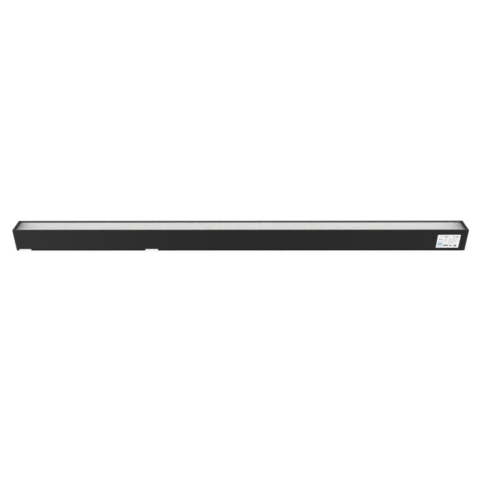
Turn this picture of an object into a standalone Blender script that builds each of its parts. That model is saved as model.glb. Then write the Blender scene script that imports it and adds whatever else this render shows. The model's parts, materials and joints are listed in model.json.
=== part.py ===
"""LED strip batten: a linear luminaire in a black aluminium extrusion.

The batten lies on its back with the light-emitting side up. +X runs along its length, the
front wall with the rating label faces -Y, and z = 0 is the mounting side. Dimensions are in
millimetres; meshes are built in metres.
"""
import math

import bmesh
import bpy
from mathutils import Vector

MM = 0.001
GAP = 0.3
PAST = 1.0  # how far a cutter stands past the faces it cuts

# Overall size
LENGTH = 1200.0
WIDTH = 53.0
HEIGHT = 63.0
HALF_WIDTH = WIDTH / 2

# Extrusion section
WALL = 1.8
INNER_Y = HALF_WIDTH - WALL
RIM_WIDTH = 4.2
RIM_Y = HALF_WIDTH - RIM_WIDTH
RIM_BOTTOM = 56.9
CORNER_RADIUS = 0.6
WEB_BOTTOM = 35.0
WEB_TOP = 36.6
LIP_HEIGHT = 4.8
GROOVE_BOTTOM = 4.5
GROOVE_TOP = 5.0
GROOVE_DEPTH = 0.4  # shadow line along the outside of each lip
EDGE_BREAK = 0.15
LIP_INNER_Y = 23.9
FOOT_Y = 21.5
FOOT_TOP = 1.2
LEDGE_Y = 22.5
LEDGE_BOTTOM = 3.9
GUIDE_BOTTOM = 6.4
GUIDE_TOP = 7.3
GUIDE_DEPTH = 2.0
PORT_OUTER = 3.1
PORT_BORE = 1.6
PORT_MOUTH = 28.0
PORT_Y = INNER_Y - PORT_OUTER
LOWER_PORT_Z = 11.5
UPPER_PORT_Z = 41.2

# Notches in the front lip: side cable exits, also wide enough to load a bracket
NOTCH_WIDTH = 34.0
NOTCH_CENTRES = (-578.0, -237.7)
NOTCH_INNER_Y = 20.0

# End caps
CAP_THICKNESS = 5.0
CAP_INNER_X = LENGTH / 2 - CAP_THICKNESS
CAP_LOWER_RADIUS = 0.7
COUNTERBORE_RADIUS = 3.1
COUNTERBORE_DEPTH = 2.4
END_SCREW_SHANK = (1.3, 14.0)
END_SCREW_HEAD = (2.7, 1.7)
PROFILE_END = CAP_INNER_X - GAP

# Diffuser
DIFFUSER_TOP = 59.0
DIFFUSER_THICKNESS = 1.6
DIFFUSER_HALF = RIM_Y - GAP
DIFFUSER_LEG = 1.3
DIFFUSER_LEG_BOTTOM = 51.0
BARB_Y = 24.1
BARB_LIP = 0.6
BARB_HEIGHT = 3.2
DIFFUSER_EDGE = 0.3

# LED boards
BOARD_COUNT = 4
BOARD_PITCH = 296.0
BOARD_LENGTH = 288.0
BOARD_WIDTH = 24.0
BOARD_BOTTOM = WEB_TOP + GAP
BOARD_THICKNESS = 1.6
BOARD_TOP = BOARD_BOTTOM + BOARD_THICKNESS
BOARD_RIB_INNER = BOARD_WIDTH / 2 + GAP
BOARD_RIB_OUTER = BOARD_RIB_INNER + 1.4
BOARD_RIB_LIP_Y = 11.0
BOARD_RIB_LIP = 0.9
LED_COUNT = 24
LED_PITCH = 12.0
LED_ROW_Y = 5.5
LED_SIZE = 3.0
LED_HEIGHT = 0.8
LED_SUNK = 0.4
LINK_Y = 9.2
LINK_WIDTH = 2.8
LINK_OVERLAP = 6.0
LINK_FOOT = 5.0
LINK_ARCH = 1.6
LINK_HEIGHT = 3.4
LINK_EDGE = 0.8

# White liners beside the boards
LINER_SHEET = 0.5
LINER_FOOT = 3.0
LINER_TOP = (20.9, 50.3)

# Gear tray
TRAY_BOTTOM = 5.1
TRAY_TOP = 6.1
TRAY_HALF = INNER_Y - GAP
FLOOR = TRAY_TOP + GAP
SCREW_HOLE = 1.8
TRAY_SCREW_HEAD = (2.8, 2.0)

# Cable entry, cord clamp, terminal block
ENTRY_X = -237.7
ENTRY_HOLE = 6.3
ENTRY_GROMMET = (3.8, 6.0, 8.0)  # radii of bore, neck and flange
CLAMP_X = -205.0
CLAMP_SCREW_Y = 10.5
CLAMP_HALF = 5.0
CLAMP_FOOT = 2.0
BLOCK_START = -160.0
BLOCK_END = -132.0
BLOCK_TOP = 19.4
BLOCK_CHEEK = 0.6
POCKET_LOW = (-152.5, 8.0)
POCKET_HIGH = (-139.5, 17.0)
POCKET_HALF = 3.0
SPRING_HALF = 2.4
POLE_PITCH = 8.0
POLE_NAMES = ("live", "neutral", "earth")
HINGE_X = -150.0
HINGE_Z = 20.05
HINGE_RADIUS = 1.45
LEVER_LENGTH = 13.5
LEVER_WIDTH = 6.6
BLADE_DROP = 0.35
CONDUCTOR_Z = 11.5
CONDUCTOR_HOLE = 1.5

# Driver
DRIVER_START = -90.0
DRIVER_END = 170.0
DRIVER_HALF = 17.0
DRIVER_SPLIT = 16.15
DRIVER_TOP = 27.4
DRIVER_WALL = 1.5
EAR_LENGTH = 10.0
EAR_HALF = 6.0
EAR_THICKNESS = 1.6
MAINS_EXIT = 1.5
MAINS_EXIT_Y = 4.0
OUTPUT_EXIT = 1.2
OUTPUT_EXIT_Y = 2.5
PCB_BOTTOM = 11.0
PCB_TOP = 12.6
PART_BASE = PCB_TOP + GAP
TRANSFORMER_START = 22.0
TRANSFORMER_END = 50.0
CAPACITORS = ((-50.0, 0.0, 6.0, 12.0), (-30.0, 6.0, 4.5, 11.0), (118.0, -4.0, 5.0, 12.0))
INPUT_TERMINAL_X = -84.0
OUTPUT_TERMINAL_X = 152.0
TERMINAL_LENGTH = 10.0

# Wires, earth stud and wire passage to the LED side
MAINS_WIRE = 1.1
OUTPUT_WIRE = 0.8
EARTH_X = -104.0
EARTH_Y = 17.0
TAG_THICKNESS = 0.9
TAG_TAIL = 10.0
TAG_HALF = 1.6
PASSAGE_X = 296.0
PASSAGE_HOLE = 3.2
PASSAGE_GROMMET = (2.2, 2.9, 3.7)

# Mounting brackets, riding in the rear channel
BRACKET_X = 400.0
BRACKET_HALF = 16.0
BRACKET_BOTTOM = 0.3
BRACKET_TOP = 3.6
BRACKET_SHOULDER = 1.5
BRACKET_HOLE = 2.3
BRACKET_HOLE_Y = 14.0
LOCK_SCREW_OFFSET = -11.0

# Rating label on the front wall
LABEL_START = 521.3
LABEL_SIZE = (59.4, 39.0)
LABEL_BOTTOM = 9.6
LABEL_OFFSET = 0.2
LABEL_THICKNESS = 0.2


# ---------------------------------------------------------------- scene and materials

def clear_scene():
    for obj in list(bpy.data.objects):
        bpy.data.objects.remove(obj, do_unlink=True)


def make_material(name, colour, roughness, metallic=0.0):
    material = bpy.data.materials.new(name)
    material.use_nodes = True
    shader = material.node_tree.nodes["Principled BSDF"]
    shader.inputs["Base Color"].default_value = (*colour, 1.0)
    shader.inputs["Roughness"].default_value = roughness
    shader.inputs["Metallic"].default_value = metallic
    return material


# ---------------------------------------------------------------- mesh helpers

def arc(centre_u, centre_v, radius, start, end, steps):
    """Points on an arc, angles in degrees, both ends included."""
    points = []
    for step in range(steps + 1):
        angle = math.radians(start + (end - start) * step / steps)
        points.append((centre_u + radius * math.cos(angle), centre_v + radius * math.sin(angle)))
    return points


def place(axis, along, u, v):
    """World point from a position along an axis and two coordinates across it."""
    if axis == "X":
        return Vector((along, u, v))
    if axis == "Y":
        return Vector((u, along, v))
    return Vector((u, v, along))


def prism(mesh, outline, start, end, axis):
    """Closed prism: an outline across an axis, extruded from start to end along it."""
    lower = [mesh.verts.new(place(axis, start, u, v)) for u, v in outline]
    upper = [mesh.verts.new(place(axis, end, u, v)) for u, v in outline]
    mesh.faces.new(lower)
    mesh.faces.new(upper)
    count = len(outline)
    for index in range(count):
        after = (index + 1) % count
        mesh.faces.new((lower[index], lower[after], upper[after], upper[index]))


def box(mesh, low, high):
    outline = [(low[0], low[1]), (high[0], low[1]), (high[0], high[1]), (low[0], high[1])]
    prism(mesh, outline, low[2], high[2], "Z")


def lathe(mesh, profile, centre, axis, segments, direction=1.0):
    """Turned solid: profile rows are (radius, distance along the axis), poles at radius 0."""
    rings = []
    for radius, along in profile:
        count = segments if radius > 0 else 1
        ring = []
        for index in range(count):
            angle = 2 * math.pi * index / segments
            offset = place(axis, along * direction, radius * math.cos(angle), radius * math.sin(angle))
            ring.append(mesh.verts.new(Vector(centre) + offset))
        rings.append(ring)
    pairs = list(zip(rings, rings[1:]))
    if len(rings[0]) > 1:
        pairs.append((rings[-1], rings[0]))
    for lower, upper in pairs:
        for index in range(segments):
            after = (index + 1) % segments
            corners = [lower[index % len(lower)], lower[after % len(lower)],
                       upper[after % len(upper)], upper[index % len(upper)]]
            mesh.faces.new(list(dict.fromkeys(corners)))


def cylinder(mesh, centre, radius, start, end, axis, segments=16):
    profile = [(0, start), (radius, start), (radius, end), (0, end)]
    lathe(mesh, profile, centre, axis, segments)


def add_screw(name, seat, axis, direction, shank, head, material, segments=10):
    """Pan-head screw as its own object. The seat is the point under the head, direction points
    out of the head, and shank and head are each (radius, length)."""
    shank_radius, length = shank
    head_radius, head_height = head
    socket_radius = head_radius * 0.45
    socket_floor = head_height * 0.4
    profile = [
        (0, -length), (shank_radius * 0.7, -length), (shank_radius, -length + shank_radius),
        (shank_radius, 0), (head_radius, 0), (head_radius, head_height * 0.55),
        (head_radius * 0.8, head_height), (socket_radius, head_height),
        (socket_radius, socket_floor), (0, socket_floor),
    ]
    mesh = bmesh.new()
    lathe(mesh, profile, seat, axis, segments, direction)
    add_part(name, mesh, material, smooth=True)


def finish_mesh(name, mesh, origin):
    """Turn a bmesh in millimetres into an object in metres with its origin where asked."""
    bmesh.ops.recalc_face_normals(mesh, faces=mesh.faces)
    bmesh.ops.translate(mesh, vec=-Vector(origin), verts=mesh.verts)
    bmesh.ops.scale(mesh, vec=(MM, MM, MM), verts=mesh.verts)
    data = bpy.data.meshes.new(name)
    mesh.to_mesh(data)
    mesh.free()
    obj = bpy.data.objects.new(name, data)
    obj.location = Vector(origin) * MM
    bpy.context.collection.objects.link(obj)
    return obj


def add_part(name, mesh, material, origin=(0, 0, 0), smooth=False):
    obj = finish_mesh(name, mesh, origin)
    obj.data.materials.append(material)
    if smooth:
        obj.data.shade_smooth()
        obj.data.set_sharp_from_angle(angle=math.radians(35))
    return obj


def add_boolean(obj, mesh, operation, label):
    """Hidden operand object plus an exact Boolean modifier on the part."""
    operand = finish_mesh(obj.name + "_" + label, mesh, (0, 0, 0))
    operand.hide_render = True
    operand.display_type = "WIRE"
    modifier = obj.modifiers.new(label, "BOOLEAN")
    modifier.operation = operation
    modifier.solver = "EXACT"
    modifier.object = operand


def cut(obj, mesh, label):
    add_boolean(obj, mesh, "DIFFERENCE", label)


def join(obj, mesh, label):
    add_boolean(obj, mesh, "UNION", label)


# ---------------------------------------------------------------- wires

def smooth_route(points, spacing):
    """Evenly read points on a Catmull-Rom curve through a route."""
    route = [Vector(point) for point in points]
    padded = [route[0] * 2 - route[1]] + route + [route[-1] * 2 - route[-2]]
    result = []
    for index in range(1, len(padded) - 2):
        before, start, end, after = padded[index - 1:index + 3]
        steps = max(1, round((end - start).length / spacing))
        for step in range(steps):
            t = step / steps
            result.append(0.5 * (2 * start + (end - before) * t
                                 + (2 * before - 5 * start + 4 * end - after) * t ** 2
                                 + (3 * start - before - 3 * end + after) * t ** 3))
    result.append(route[-1])
    return result


def add_wire(name, route, radius, material):
    """Insulated wire as a closed tube along a smooth route."""
    curve = bpy.data.curves.new(name, "CURVE")
    curve.dimensions = "3D"
    curve.bevel_depth = radius * MM
    curve.bevel_resolution = 2
    curve.use_fill_caps = True
    points = smooth_route(route, 5 * radius)
    spline = curve.splines.new("POLY")
    spline.points.add(len(points) - 1)
    for target, point in zip(spline.points, points):
        target.co = (*(point * MM), 1.0)
    curve.materials.append(material)
    obj = bpy.data.objects.new(name, curve)
    bpy.context.collection.objects.link(obj)


# ---------------------------------------------------------------- housing and end caps

def screw_port(centre_z):
    """C-shaped screw port on the inner wall, from its top to its bottom, for +Y."""
    inner_turn = 180 - PORT_MOUTH
    points = [(INNER_Y, centre_z + PORT_OUTER)]
    points += arc(PORT_Y, centre_z, PORT_OUTER, 90, inner_turn, 3)
    points += arc(PORT_Y, centre_z, PORT_BORE, inner_turn, -inner_turn, 9)
    points += arc(PORT_Y, centre_z, PORT_OUTER, -inner_turn, -90, 3)
    points.append((INNER_Y, centre_z - PORT_OUTER))
    return points


def mirrored(right_side):
    """Full symmetrical outline from its +Y half."""
    return right_side + [(-y, z) for y, z in reversed(right_side)]


def housing_outline():
    guide_y = INNER_Y - GUIDE_DEPTH
    right = [(INNER_Y, WEB_BOTTOM)]
    right += screw_port(LOWER_PORT_Z)
    right += [
        (INNER_Y, GUIDE_TOP), (guide_y, GUIDE_TOP), (guide_y, GUIDE_BOTTOM),
        (INNER_Y, GUIDE_BOTTOM), (INNER_Y, LIP_HEIGHT), (LEDGE_Y, LIP_HEIGHT),
        (LEDGE_Y, LEDGE_BOTTOM), (LIP_INNER_Y, LEDGE_BOTTOM), (LIP_INNER_Y, FOOT_TOP),
        (FOOT_Y, FOOT_TOP), (FOOT_Y, 0),
    ]
    groove_y = HALF_WIDTH - GROOVE_DEPTH
    right += [
        (HALF_WIDTH - EDGE_BREAK, 0), (HALF_WIDTH, EDGE_BREAK), (HALF_WIDTH, GROOVE_BOTTOM),
        (groove_y, GROOVE_BOTTOM), (groove_y, GROOVE_TOP), (HALF_WIDTH, GROOVE_TOP),
    ]
    right += arc(HALF_WIDTH - CORNER_RADIUS, HEIGHT - CORNER_RADIUS, CORNER_RADIUS, 0, 90, 3)
    right += [(RIM_Y, HEIGHT), (RIM_Y, RIM_BOTTOM), (INNER_Y, RIM_BOTTOM)]
    right += screw_port(UPPER_PORT_Z)
    lip_bottom = BOARD_TOP + GAP
    lip_top = lip_bottom + BOARD_RIB_LIP
    right += [
        (INNER_Y, WEB_TOP), (BOARD_RIB_OUTER, WEB_TOP), (BOARD_RIB_OUTER, lip_top),
        (BOARD_RIB_LIP_Y, lip_top), (BOARD_RIB_LIP_Y, lip_bottom),
        (BOARD_RIB_INNER, lip_bottom), (BOARD_RIB_INNER, WEB_TOP),
    ]
    return mirrored(right)


def board_centres():
    first = -BOARD_PITCH * (BOARD_COUNT - 1) / 2
    return [first + BOARD_PITCH * index for index in range(BOARD_COUNT)]


def build_housing(material):
    mesh = bmesh.new()
    prism(mesh, housing_outline(), -PROFILE_END, PROFILE_END, "X")
    housing = add_part("housing", mesh, material)
    notches = bmesh.new()
    for centre in NOTCH_CENTRES:
        low = (centre - NOTCH_WIDTH / 2, -HALF_WIDTH - PAST, -PAST)
        high = (centre + NOTCH_WIDTH / 2, -NOTCH_INNER_Y, LIP_HEIGHT)
        box(notches, low, high)
    cut(housing, notches, "notches")
    passage = bmesh.new()
    cylinder(passage, (PASSAGE_X, 0, 0), PASSAGE_HOLE, WEB_BOTTOM - PAST, WEB_TOP + PAST, "Z")
    cut(housing, passage, "wire_passage")


def cap_outline():
    top = HEIGHT - CORNER_RADIUS
    right = arc(HALF_WIDTH - CAP_LOWER_RADIUS, CAP_LOWER_RADIUS, CAP_LOWER_RADIUS, -90, 0, 4)
    right += arc(HALF_WIDTH - CORNER_RADIUS, top, CORNER_RADIUS, 0, 90, 3)
    return mirrored(right)


def end_screw_positions():
    return [(side * PORT_Y, z) for side in (-1, 1) for z in (LOWER_PORT_Z, UPPER_PORT_Z)]


def build_end_caps(material, steel):
    for hand, side in (("left", -1), ("right", 1)):
        inner = side * CAP_INNER_X
        outer = side * LENGTH / 2
        mesh = bmesh.new()
        prism(mesh, cap_outline(), inner, outer, "X")
        cap = add_part(f"end_cap_{hand}", mesh, material)
        bores = bmesh.new()
        seats = bmesh.new()
        seat_x = outer - side * COUNTERBORE_DEPTH
        for number, (y, z) in enumerate(end_screw_positions(), start=1):
            cylinder(bores, (0, y, z), PORT_BORE, inner - side, outer + side, "X", 12)
            cylinder(seats, (0, y, z), COUNTERBORE_RADIUS, seat_x, outer + side, "X", 16)
            name = f"end_cap_screw_{hand}_{number}"
            seat = (seat_x + side * GAP, y, z)
            add_screw(name, seat, "X", side, END_SCREW_SHANK, END_SCREW_HEAD, steel)
        cut(cap, bores, "bores")
        cut(cap, seats, "seats")


# ---------------------------------------------------------------- optical side

def build_diffuser(material):
    inner_leg = DIFFUSER_HALF - DIFFUSER_LEG
    underside = DIFFUSER_TOP - DIFFUSER_THICKNESS
    barb_top = RIM_BOTTOM - GAP
    right = [
        (DIFFUSER_HALF - DIFFUSER_EDGE, DIFFUSER_TOP), (DIFFUSER_HALF, DIFFUSER_TOP - DIFFUSER_EDGE),
        (DIFFUSER_HALF, barb_top), (BARB_Y, barb_top), (BARB_Y, barb_top - BARB_LIP),
        (DIFFUSER_HALF, barb_top - BARB_HEIGHT), (DIFFUSER_HALF, DIFFUSER_LEG_BOTTOM),
        (inner_leg, DIFFUSER_LEG_BOTTOM), (inner_leg, underside),
    ]
    mesh = bmesh.new()
    prism(mesh, mirrored(right), -PROFILE_END, PROFILE_END, "X")
    add_part("diffuser", mesh, material)


def build_led_boards(material):
    """Populated boards: the emitters are soldered on in two staggered rows."""
    for index, centre in enumerate(board_centres(), start=1):
        mesh = bmesh.new()
        half = BOARD_LENGTH / 2
        low = (centre - half, -BOARD_WIDTH / 2, BOARD_BOTTOM)
        high = (centre + half, BOARD_WIDTH / 2, BOARD_TOP)
        box(mesh, low, high)
        board = add_part(f"led_board_{index}", mesh, material)
        emitters = bmesh.new()
        for count in range(LED_COUNT):
            x = centre + (count - (LED_COUNT - 1) / 2) * LED_PITCH
            y = LED_ROW_Y if count % 2 else -LED_ROW_Y
            low = (x - LED_SIZE / 2, y - LED_SIZE / 2, BOARD_TOP - LED_SUNK)
            high = (x + LED_SIZE / 2, y + LED_SIZE / 2, BOARD_TOP + LED_HEIGHT)
            box(emitters, low, high)
        join(board, emitters, "emitters")


def build_board_links(material):
    """Plug-in bridges that carry the current from one board to the next."""
    reach = (BOARD_PITCH - BOARD_LENGTH) / 2 + LINK_OVERLAP
    foot = reach - LINK_FOOT
    bottom = BOARD_TOP + GAP
    arch = bottom + LINK_ARCH
    top = bottom + LINK_HEIGHT
    section = [
        (-reach, bottom), (-foot, bottom), (-foot, arch), (foot, arch), (foot, bottom),
        (reach, bottom), (reach, top - LINK_EDGE), (reach - LINK_EDGE, top),
        (-reach + LINK_EDGE, top), (-reach, top - LINK_EDGE),
    ]
    for joint in range(1, BOARD_COUNT):
        middle = (joint - BOARD_COUNT / 2) * BOARD_PITCH
        outline = [(middle + x, z) for x, z in section]
        mesh = bmesh.new()
        prism(mesh, outline, LINK_Y - LINK_WIDTH / 2, LINK_Y + LINK_WIDTH / 2, "Y")
        add_part(f"board_link_{joint}", mesh, material)


def build_supply_connector(material):
    start = PASSAGE_X + 10.7
    length = 6.5
    half_width = 3.4
    bottom = BOARD_TOP + GAP
    mesh = bmesh.new()
    box(mesh, (start, -half_width, bottom), (start + length, half_width, bottom + 6.2))
    add_part("supply_connector", mesh, material)


def build_reflectors(material):
    """White liners that lean from the boards' edges up to the diffuser's legs."""
    foot = BOARD_RIB_OUTER + GAP
    bottom = WEB_TOP + GAP
    top_y, top_z = LINER_TOP
    section = [
        (foot, bottom), (foot + LINER_FOOT, bottom), (foot + LINER_FOOT, bottom + LINER_SHEET),
        (foot + 2 * LINER_SHEET, bottom + LINER_SHEET), (top_y, top_z),
        (top_y - LINER_SHEET, top_z + LINER_SHEET / 2), (foot, bottom + LINER_SHEET),
    ]
    for name, side in (("reflector_front", -1), ("reflector_back", 1)):
        mesh = bmesh.new()
        prism(mesh, [(side * y, z) for y, z in section], -PROFILE_END, PROFILE_END, "X")
        add_part(name, mesh, material)


# ---------------------------------------------------------------- gear tray and its fittings

def driver_screw_positions():
    return [DRIVER_START - EAR_LENGTH / 2, DRIVER_END + EAR_LENGTH / 2]


def build_gear_tray(material):
    mesh = bmesh.new()
    box(mesh, (-PROFILE_END, -TRAY_HALF, TRAY_BOTTOM), (PROFILE_END, TRAY_HALF, TRAY_TOP))
    tray = add_part("gear_tray", mesh, material)
    holes = bmesh.new()
    cylinder(holes, (ENTRY_X, 0, 0), ENTRY_HOLE, TRAY_BOTTOM - PAST, TRAY_TOP + PAST, "Z", 20)
    spots = [(CLAMP_X, side * CLAMP_SCREW_Y) for side in (-1, 1)]
    spots += [(x, 0) for x in driver_screw_positions()]
    spots.append((EARTH_X, EARTH_Y))
    for x, y in spots:
        cylinder(holes, (x, y, 0), SCREW_HOLE, TRAY_BOTTOM - PAST, TRAY_TOP + PAST, "Z", 12)
    cut(tray, holes, "holes")


def add_grommet(name, x, radii, plate_bottom, plate_top, material):
    """Ring with a groove that grips the edge of a hole in a plate."""
    bore, neck, flange = radii
    rim = 1.1
    low = plate_bottom - GAP
    high = plate_top + GAP
    profile = [
        (bore, low - rim), (flange, low - rim), (flange, low), (neck, low),
        (neck, high), (flange, high), (flange, high + rim), (bore, high + rim),
    ]
    mesh = bmesh.new()
    lathe(mesh, profile, (x, 0, 0), "Z", 20)
    add_part(name, mesh, material, smooth=True)


def build_grommets(material):
    add_grommet("cable_entry_grommet", ENTRY_X, ENTRY_GROMMET, TRAY_BOTTOM, TRAY_TOP, material)
    add_grommet("web_grommet", PASSAGE_X, PASSAGE_GROMMET, WEB_BOTTOM, WEB_TOP, material)


def build_cord_clamp(material, steel):
    """Saddle that holds the incoming cable down on the tray, with its two screws."""
    foot_y = 14.0
    foot_top = FLOOR + CLAMP_FOOT
    outer = 5.9
    inner = 4.0
    centre_z = FLOOR + 2.8
    outline = [(-foot_y, FLOOR), (-foot_y, foot_top), (-outer, foot_top)]
    outline += arc(0, centre_z, outer, 180, 0, 10)
    outline += [(outer, foot_top), (foot_y, foot_top), (foot_y, FLOOR), (inner, FLOOR)]
    outline += arc(0, centre_z, inner, 0, 180, 10)
    outline.append((-inner, FLOOR))
    mesh = bmesh.new()
    prism(mesh, outline, CLAMP_X - CLAMP_HALF, CLAMP_X + CLAMP_HALF, "X")
    clamp = add_part("cord_clamp", mesh, material)
    holes = bmesh.new()
    for hand, side in (("front", -1), ("back", 1)):
        spot = (CLAMP_X, side * CLAMP_SCREW_Y, 0)
        cylinder(holes, spot, SCREW_HOLE, FLOOR - PAST, foot_top + PAST, "Z", 12)
        seat = (CLAMP_X, side * CLAMP_SCREW_Y, foot_top + GAP)
        add_screw(f"cord_clamp_screw_{hand}", seat, "Z", 1, (1.5, 3.4), TRAY_SCREW_HEAD, steel)
    cut(clamp, holes, "screw_holes")


# ---------------------------------------------------------------- terminal block

def pole_offsets():
    return [(name, (index - 1) * POLE_PITCH) for index, name in enumerate(POLE_NAMES)]


def build_terminal_body(material):
    trough = HINGE_RADIUS + GAP
    rise = BLOCK_TOP - HINGE_Z
    half_angle = math.degrees(math.asin(-rise / trough))
    outline = [(BLOCK_END, FLOOR), (BLOCK_END, BLOCK_TOP)]
    outline += arc(HINGE_X, HINGE_Z, trough, -half_angle, -180 + half_angle, 10)
    outline += [(BLOCK_START, BLOCK_TOP), (BLOCK_START, FLOOR)]
    half_width = POLE_PITCH * len(POLE_NAMES) / 2 + BLOCK_CHEEK
    mesh = bmesh.new()
    prism(mesh, outline, -half_width, half_width, "Y")
    body = add_part("terminal_block_body", mesh, material)
    pockets = bmesh.new()
    entries = bmesh.new()
    for _, y in pole_offsets():
        low = (POCKET_LOW[0], y - POCKET_HALF, POCKET_LOW[1])
        high = (POCKET_HIGH[0], y + POCKET_HALF, POCKET_HIGH[1])
        box(pockets, low, high)
        start = (0, y, CONDUCTOR_Z)
        cylinder(entries, start, CONDUCTOR_HOLE, BLOCK_START - PAST, BLOCK_END + PAST, "X", 12)
    cut(body, pockets, "spring_pockets")
    cut(body, entries, "wire_entries")


def build_clamp_springs(steel):
    """Bent strip in each pocket that presses the conductor."""
    section = [
        (-151.5, 8.6), (-144.0, 8.6), (-144.0, 9.0), (-151.1, 9.0), (-151.1, 15.6),
        (-147.6, 15.6), (-143.4, 10.6), (-143.0, 10.9), (-147.4, 16.1), (-151.5, 16.1),
    ]
    for name, y in pole_offsets():
        mesh = bmesh.new()
        prism(mesh, section, y - SPRING_HALF, y + SPRING_HALF, "Y")
        add_part(f"terminal_spring_{name}", mesh, steel)


def build_terminal_levers(materials):
    """Each lever turns on its barrel, which rests in the trough across the body's top."""
    blade_bottom = HINGE_Z - BLADE_DROP
    blade_top = HINGE_Z + HINGE_RADIUS
    tip = HINGE_X + LEVER_LENGTH
    meet = math.degrees(math.asin(BLADE_DROP / HINGE_RADIUS))
    outline = arc(HINGE_X, HINGE_Z, HINGE_RADIUS, 90, 360 - meet, 10)
    outline += [(tip - 1.5, blade_bottom), (tip, blade_bottom + 0.8), (tip, blade_top + 0.9)]
    outline += [(tip - 1.0, blade_top + 0.9), (tip - 3.0, blade_top)]
    for name, y in pole_offsets():
        mesh = bmesh.new()
        prism(mesh, outline, y - LEVER_WIDTH / 2, y + LEVER_WIDTH / 2, "Y")
        add_part(f"terminal_lever_{name}", mesh, materials[name], origin=(HINGE_X, y, HINGE_Z))


# ---------------------------------------------------------------- driver

def build_driver_case(material):
    """Plastic case in two halves, split at the height of the wire exits."""
    base_top = DRIVER_SPLIT - GAP / 2
    cover_bottom = DRIVER_SPLIT + GAP / 2
    inner_start = DRIVER_START + DRIVER_WALL
    inner_end = DRIVER_END - DRIVER_WALL
    inner_half = DRIVER_HALF - DRIVER_WALL
    step = 1.5
    ledge = PCB_BOTTOM - GAP

    mesh = bmesh.new()
    box(mesh, (DRIVER_START, -DRIVER_HALF, FLOOR), (DRIVER_END, DRIVER_HALF, base_top))
    base = add_part("driver_case_base", mesh, material)
    upper = bmesh.new()
    box(upper, (inner_start, -inner_half, ledge), (inner_end, inner_half, base_top + PAST))
    cut(base, upper, "upper_space")
    lower = bmesh.new()
    box(lower, (inner_start + step, -inner_half + step, FLOOR + DRIVER_WALL),
        (inner_end - step, inner_half - step, ledge + PAST))
    cut(base, lower, "lower_space")
    ears = bmesh.new()
    for x, side in ((DRIVER_START, -1), (DRIVER_END, 1)):
        reach = x + side * EAR_LENGTH
        root = x - side * 0.5
        low = (min(root, reach), -EAR_HALF, FLOOR)
        high = (max(root, reach), EAR_HALF, FLOOR + EAR_THICKNESS)
        box(ears, low, high)
    join(base, ears, "ears")
    ear_holes = bmesh.new()
    for x in driver_screw_positions():
        top = FLOOR + EAR_THICKNESS + PAST
        cylinder(ear_holes, (x, 0, 0), SCREW_HOLE, FLOOR - PAST, top, "Z", 12)
    cut(base, ear_holes, "ear_holes")
    cut(base, wire_exits(), "wire_exits")

    mesh = bmesh.new()
    box(mesh, (DRIVER_START, -DRIVER_HALF, cover_bottom), (DRIVER_END, DRIVER_HALF, DRIVER_TOP))
    cover = add_part("driver_case_cover", mesh, material)
    space = bmesh.new()
    box(space, (inner_start, -inner_half, cover_bottom - PAST),
        (inner_end, inner_half, DRIVER_TOP - DRIVER_WALL))
    cut(cover, space, "space")
    cut(cover, wire_exits(), "wire_exits")


def wire_exits():
    """Round exits through both end walls, shared by the base and the cover."""
    mesh = bmesh.new()
    reach = DRIVER_WALL + PAST
    exits = ((DRIVER_START, MAINS_EXIT_Y, MAINS_EXIT), (DRIVER_END, OUTPUT_EXIT_Y, OUTPUT_EXIT))
    for x, offset, radius in exits:
        for y in (-offset, offset):
            cylinder(mesh, (x, y, DRIVER_SPLIT), radius, -reach, reach, "X", 12)
    return mesh


def build_driver_screws(steel):
    for hand, x in zip(("left", "right"), driver_screw_positions()):
        seat = (x, 0, FLOOR + EAR_THICKNESS + GAP)
        add_screw(f"driver_screw_{hand}", seat, "Z", 1, (1.5, 3.0), TRAY_SCREW_HEAD, steel)


def build_driver_contents(board, ferrite, can, plastic):
    reach = DRIVER_WALL + GAP
    mesh = bmesh.new()
    half = DRIVER_HALF - reach
    box(mesh, (DRIVER_START + reach, -half, PCB_BOTTOM), (DRIVER_END - reach, half, PCB_TOP))
    add_part("driver_pcb", mesh, board)

    wide = 12.0
    narrow = 9.5
    core_top = PART_BASE + 12.0
    foot_top = PART_BASE + 3.0
    head_bottom = core_top - 3.0
    section = [
        (-wide, PART_BASE), (wide, PART_BASE), (wide, foot_top), (narrow, foot_top),
        (narrow, head_bottom), (wide, head_bottom), (wide, core_top), (-wide, core_top),
        (-wide, head_bottom), (-narrow, head_bottom), (-narrow, foot_top), (-wide, foot_top),
    ]
    mesh = bmesh.new()
    prism(mesh, section, TRANSFORMER_START, TRANSFORMER_END, "X")
    add_part("driver_transformer", mesh, ferrite)

    for number, (x, y, radius, height) in enumerate(CAPACITORS, start=1):
        shoulder = radius - 0.6
        profile = [
            (0, 0), (radius, 0), (radius, 1.2), (shoulder, 1.8), (radius, 2.4),
            (radius, height - 0.5), (shoulder, height), (0, height),
        ]
        mesh = bmesh.new()
        lathe(mesh, profile, (x, y, PART_BASE), "Z", 16)
        add_part(f"driver_capacitor_{number}", mesh, can, smooth=True)

    top = PART_BASE + 7.0
    slope = 1.5
    terminals = (("input", INPUT_TERMINAL_X, 8.0), ("output", OUTPUT_TERMINAL_X, 6.0))
    for name, low_x, half_y in terminals:
        high_x = low_x + TERMINAL_LENGTH
        outline = [(low_x, PART_BASE), (high_x, PART_BASE), (high_x, top - slope),
                   (high_x - slope, top), (low_x + slope, top), (low_x, top - slope)]
        mesh = bmesh.new()
        prism(mesh, outline, -half_y, half_y, "Y")
        add_part(f"driver_{name}_terminal", mesh, plastic)


# ---------------------------------------------------------------- wiring and earth

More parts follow.
